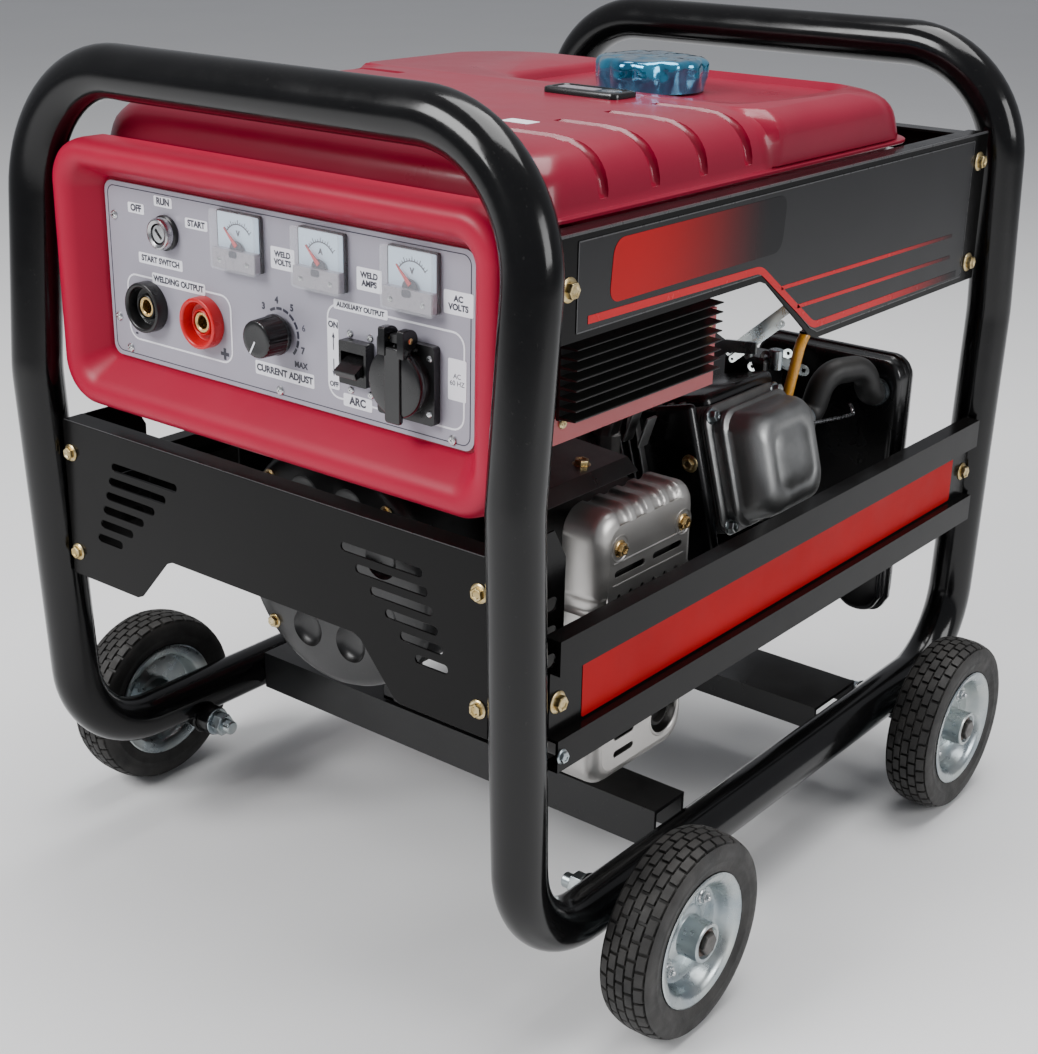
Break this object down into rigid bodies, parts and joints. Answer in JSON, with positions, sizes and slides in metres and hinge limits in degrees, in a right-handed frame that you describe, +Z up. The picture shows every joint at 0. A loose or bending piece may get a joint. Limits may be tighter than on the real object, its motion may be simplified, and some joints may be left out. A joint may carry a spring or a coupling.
{
  "type": "engine driven welder",
  "caption": "Engine driven arc welder: tubular frame on wheels carrying a fuel tank, control console, alternator and petrol engine.",
  "frame": {"origin": "centre of the bounding box's bottom face, on the floor between the four wheels", "axes": "+Z up, the control console faces -Y, the engine's cylinder and muffler are on +X, the crank axis runs along Y"},
  "size_m": [0.62, 0.7038, 0.6619],
  "materials": {
    "frame_black": "black gloss powder coat",
    "sheet_black": "black semi-gloss paint",
    "red_plastic": "moulded red, semi-gloss",
    "red_paint": "red gloss paint",
    "plate_grey": "printed satin grey plate",
    "zinc": "bright zinc plating",
    "tyre": "black block tread",
    "black_plastic": "satin black",
    "red_insulator": "moulded red",
    "meter_cover": "clear acrylic over a white dial",
    "needle": "red",
    "cast_alloy": "as cast",
    "bright_steel": "satin pressed steel",
    "chrome": "polished",
    "cast_iron": "machined and blackened",
    "blue_cap": "translucent blue film over metal",
    "amber_hose": "translucent amber",
    "rubber": "black",
    "sink_black": "black anodised extrusion"
  },
  "bodies": {
    "frame": {"frame_front_hoop": "frame_black", "frame_rear_hoop": "frame_black", "crossmember_front": "sheet_black", "crossmember_rear": "sheet_black", "axle_bolt_fl": "zinc", "axle_bolt_fr": "zinc", "axle_bolt_rl": "zinc", "axle_bolt_rr": "zinc", "front_panel": "sheet_black", "side_panel_right": "sheet_black", "side_panel_left": "sheet_black", "side_rail_right": "sheet_black", "side_rail_left": "sheet_black", "tank_support": "sheet_black", "console_housing": "red_plastic", "control_plate": "plate_grey", "meter_weld_volt": "meter_cover", "meter_weld_amp": "meter_cover", "meter_aux_volt": "meter_cover", "key_switch": "chrome", "weld_socket_black": "black_plastic", "weld_socket_red": "red_insulator", "breaker_body": "black_plastic", "outlet_body": "black_plastic", "fuel_tank": "red_paint", "fuel_gauge": "black_plastic", "rectifier_box": "red_paint", "heat_sink": "sink_black", "alternator": "sheet_black", "heat_guard": "sheet_black", "engine_block": "cast_alloy", "rocker_cover": "cast_alloy", "fan_shroud": "black_plastic", "recoil_starter": "black_plastic", "muffler": "cast_iron", "heat_shield": "bright_steel", "carburettor": "cast_alloy", "intake_hose": "rubber", "air_cleaner": "black_plastic", "fuel_hose": "amber_hose"},
    "wheel_fl": {"tyre_fl": "tyre", "rim_fl": "zinc"},
    "wheel_fr": {"tyre_fr": "tyre", "rim_fr": "zinc"},
    "wheel_rl": {"tyre_rl": "tyre", "rim_rl": "zinc"},
    "wheel_rr": {"tyre_rr": "tyre", "rim_rr": "zinc"},
    "key": {"key_barrel": "chrome"},
    "knob": {"current_knob": "black_plastic"},
    "toggle": {"breaker_toggle": "black_plastic"},
    "lid": {"outlet_lid": "black_plastic"},
    "cap": {"fuel_cap": "blue_cap"},
    "pointer_weld_volt": {"needle_weld_volt": "needle"},
    "pointer_weld_amp": {"needle_weld_amp": "needle"},
    "pointer_aux_volt": {"needle_aux_volt": "needle"},
    "pull_handle": {"recoil_handle": "black_plastic"},
    "crank": {"rotor_shaft": "cast_iron", "flywheel": "cast_iron"},
    "governor": {"governor_lever": "zinc"}
  },
  "joints": [
    {"name": "wheel_fl_spin", "type": "hinge", "parent": "frame", "child": "wheel_fl", "pos_m": [-0.285, -0.2014, 0.0762], "axis": [1, 0, 0], "continuous": true},
    {"name": "wheel_fr_spin", "type": "hinge", "parent": "frame", "child": "wheel_fr", "pos_m": [0.285, -0.2014, 0.0762], "axis": [1, 0, 0], "continuous": true},
    {"name": "wheel_rl_spin", "type": "hinge", "parent": "frame", "child": "wheel_rl", "pos_m": [-0.285, 0.2176, 0.0762], "axis": [1, 0, 0], "continuous": true},
    {"name": "wheel_rr_spin", "type": "hinge", "parent": "frame", "child": "wheel_rr", "pos_m": [0.285, 0.2176, 0.0762], "axis": [1, 0, 0], "continuous": true},
    {"name": "key_turn", "type": "hinge", "parent": "frame", "child": "key", "pos_m": [-0.1085, -0.304, 0.535], "axis": [0, 1, 0], "range_deg": [0, 90]},
    {"name": "current_adjust", "type": "hinge", "parent": "frame", "child": "knob", "pos_m": [0.003, -0.304, 0.4825], "axis": [0, 1, 0], "range_deg": [0, 285]},
    {"name": "breaker_switch", "type": "hinge", "parent": "frame", "child": "toggle", "pos_m": [0.0775, -0.3055, 0.477], "axis": [-1, 0, 0], "range_deg": [0, 48]},
    {"name": "outlet_lid_hinge", "type": "hinge", "parent": "frame", "child": "lid", "pos_m": [0.122, -0.317, 0.5035], "axis": [-1, 0, 0], "range_deg": [0, 98], "stiffness_Nm_per_rad": 0.02, "springref_deg": -34.38},
    {"name": "cap_lift", "type": "slide", "parent": "frame", "child": "cap", "axis": [0, 0, 1], "range_m": [0, 0.08]},
    {"name": "pointer_weld_volt_swing", "type": "hinge", "parent": "frame", "child": "pointer_weld_volt", "pos_m": [-0.0314, -0.3105, 0.5385], "axis": [0, 1, 0], "range_deg": [0, 90], "stiffness_Nm_per_rad": 0.00002, "springref_deg": -11.46},
    {"name": "pointer_weld_amp_swing", "type": "hinge", "parent": "frame", "child": "pointer_weld_amp", "pos_m": [0.0464, -0.3105, 0.5382], "axis": [0, 1, 0], "range_deg": [0, 90], "stiffness_Nm_per_rad": 0.00002, "springref_deg": -11.46},
    {"name": "pointer_aux_volt_swing", "type": "hinge", "parent": "frame", "child": "pointer_aux_volt", "pos_m": [0.1259, -0.3105, 0.538], "axis": [0, 1, 0], "range_deg": [0, 90], "stiffness_Nm_per_rad": 0.00002, "springref_deg": -11.46},
    {"name": "recoil_pull", "type": "slide", "parent": "frame", "child": "pull_handle", "axis": [0, 1, 0], "range_m": [0, 0.6], "stiffness_N_per_m": 15, "springref_m": -0.6},
    {"name": "crank_spin", "type": "hinge", "parent": "frame", "child": "crank", "pos_m": [0, 0.053, 0.295], "axis": [0, 1, 0], "continuous": true},
    {"name": "governor_swing", "type": "hinge", "parent": "frame", "child": "governor", "pos_m": [0.048, 0.1, 0.3705], "axis": [0, 0, 1], "range_deg": [-12, 12], "stiffness_Nm_per_rad": 0.05}
  ]
}
